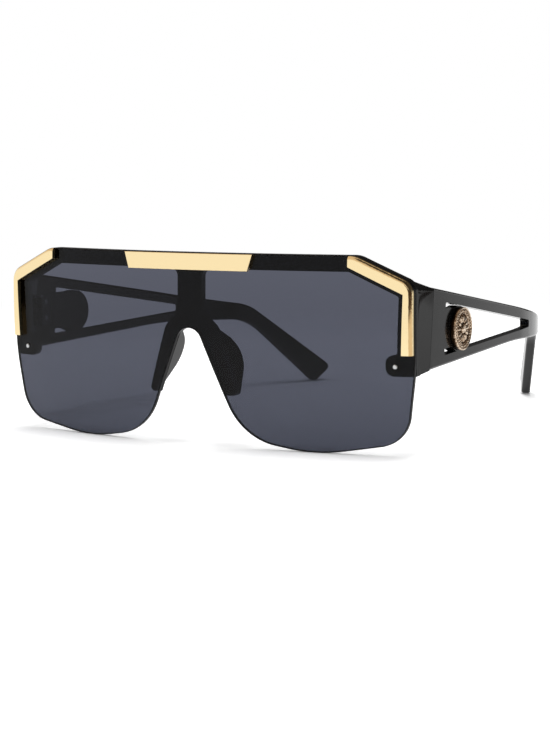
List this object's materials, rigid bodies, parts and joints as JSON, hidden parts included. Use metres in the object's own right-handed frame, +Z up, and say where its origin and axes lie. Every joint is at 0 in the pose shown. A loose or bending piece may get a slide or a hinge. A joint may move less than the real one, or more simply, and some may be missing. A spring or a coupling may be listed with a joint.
{
  "type": "oversized shield sunglasses",
  "caption": "Oversized flat-top shield sunglasses: one smoked lens on a black frame with gold corner and brow trims, and wide windowed arms with round medallions that fold on hinges.",
  "frame": {"origin": "on the table, midway between the arms and midway from front to back", "axes": "+Z up from the table; the wearer looks along -Y; +X is the wearer's left"},
  "size_m": [0.151, 0.1578, 0.0593],
  "materials": {
    "smoke_lens": "clear smoke-grey tint, polished",
    "black_frame": "polished",
    "black_pad": "polished",
    "polished_gold": "polished plating",
    "antique_gold": "plated, darkened in its hollows",
    "steel": "bright",
    "black_steel": "blackened"
  },
  "bodies": {
    "front": {"shield_lens": "smoke_lens", "front_frame": "black_frame", "brow_trim": "polished_gold", "brow_trim_screws": "steel", "corner_trim_left": "polished_gold", "corner_trim_right": "polished_gold", "corner_trim_screw_left": "steel", "corner_trim_screw_right": "steel", "lens_screw_left": "steel", "lens_screw_right": "steel", "lens_nut_left": "steel", "lens_nut_right": "steel", "nose_pad_left": "black_pad", "nose_pad_right": "black_pad", "front_hinge_left": "black_steel", "front_hinge_right": "black_steel", "front_hinge_screws_left": "steel", "front_hinge_screws_right": "steel", "hinge_screw_left": "steel", "hinge_screw_right": "steel"},
    "temple_left": {"temple_left": "black_frame", "temple_hinge_left": "black_steel", "temple_hinge_screws_left": "steel", "medallion_left": "antique_gold"},
    "temple_right": {"temple_right": "black_frame", "temple_hinge_right": "black_steel", "temple_hinge_screws_right": "steel", "medallion_right": "antique_gold"}
  },
  "joints": [
    {"name": "left_arm_fold", "type": "hinge", "parent": "front", "child": "temple_left", "pos_m": [0.0696, -0.06052, 0.0373], "axis": [0, 0, 1], "range_deg": [0, 79]},
    {"name": "right_arm_fold", "type": "hinge", "parent": "front", "child": "temple_right", "pos_m": [-0.0696, -0.06052, 0.0373], "axis": [0, 0, -1], "range_deg": [0, 66]}
  ]
}
